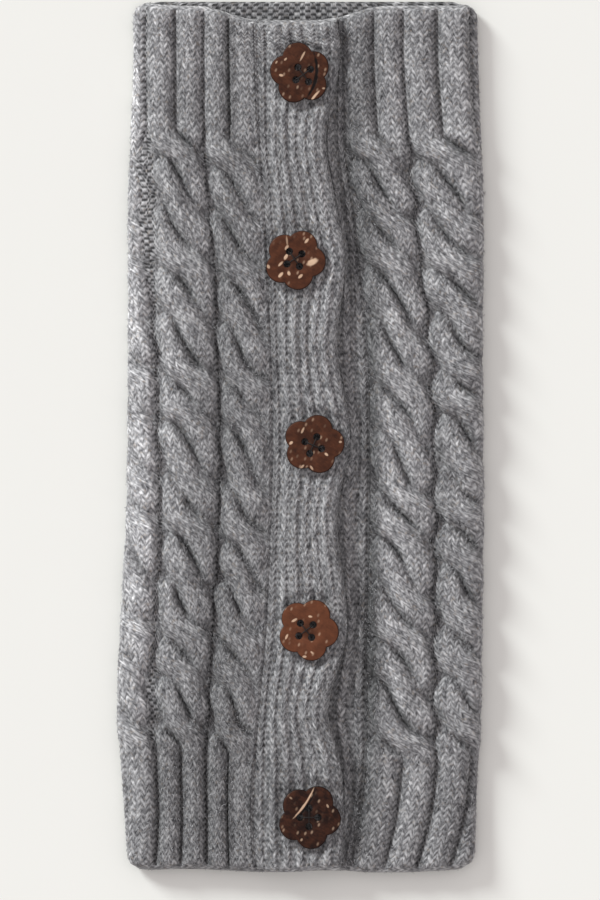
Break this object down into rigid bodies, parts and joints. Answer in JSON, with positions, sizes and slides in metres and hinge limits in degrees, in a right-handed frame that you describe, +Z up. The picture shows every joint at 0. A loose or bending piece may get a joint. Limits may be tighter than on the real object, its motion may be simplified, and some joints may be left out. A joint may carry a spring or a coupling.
{
  "type": "leg warmer",
  "caption": "Flat-laid cable-knit leg warmer: a ribbed-cuff tube closed down the front by a lapped placket with flower-shaped shell buttons.",
  "frame": {"origin": "middle of the footprint, on the surface that the leg warmer lies on", "axes": "+Z up through the placket, +Y along the leg towards the mouth with the first button, +X across to the side of the placket's free edge"},
  "size_m": [0.1475, 0.348, 0.0132],
  "materials": {
    "wool": "brushed heather-grey wool knit, matt with a short nap",
    "shell": "polished coconut shell with pale flecks"
  },
  "bodies": {
    "root": {"knit_panel": "wool", "button_band": "wool", "buttonhole_band": "wool", "button_1": "shell", "button_2": "shell", "button_3": "shell", "button_4": "shell", "button_5": "shell"}
  },
  "joints": []
}
